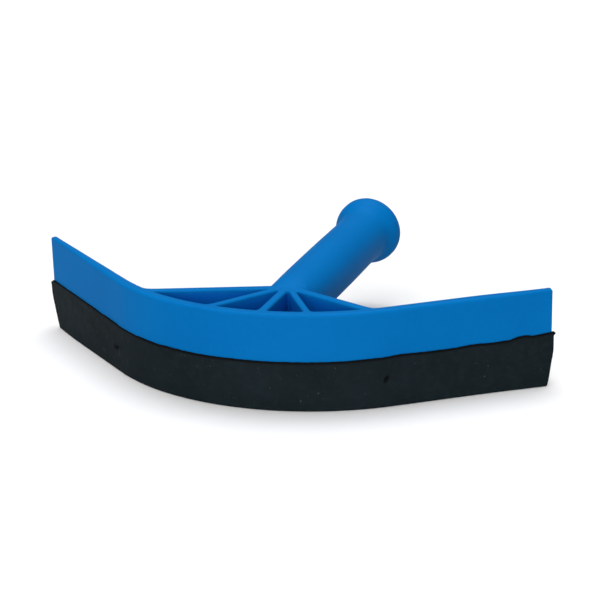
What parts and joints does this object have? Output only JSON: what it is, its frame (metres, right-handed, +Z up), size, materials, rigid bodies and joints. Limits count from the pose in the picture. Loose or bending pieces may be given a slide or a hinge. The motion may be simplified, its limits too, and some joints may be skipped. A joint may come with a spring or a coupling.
{
  "type": "curved hand squeegee",
  "caption": "Bow-shaped hand squeegee: blue plastic blade carrier braced by a fan of webs to a hollow flared handle, with a black rubber blade along its lower edge.",
  "frame": {"origin": "centre of the bounding box in plan, on the surface that the rubber blade stands on", "axes": "+Z up, +Y from the front of the bow towards the handle's open end, +X to the right seen from the front of the bow"},
  "size_m": [0.275, 0.1646, 0.0602],
  "materials": {
    "blue_plastic": "satin moulded polypropylene, fine even grain, slightly softer sheen on the edges",
    "black_rubber": "matte black rubber with a faint mottled bloom"
  },
  "bodies": {
    "root": {"bow_frame": "blue_plastic", "handle": "blue_plastic", "rubber_blade": "black_rubber"}
  },
  "joints": []
}
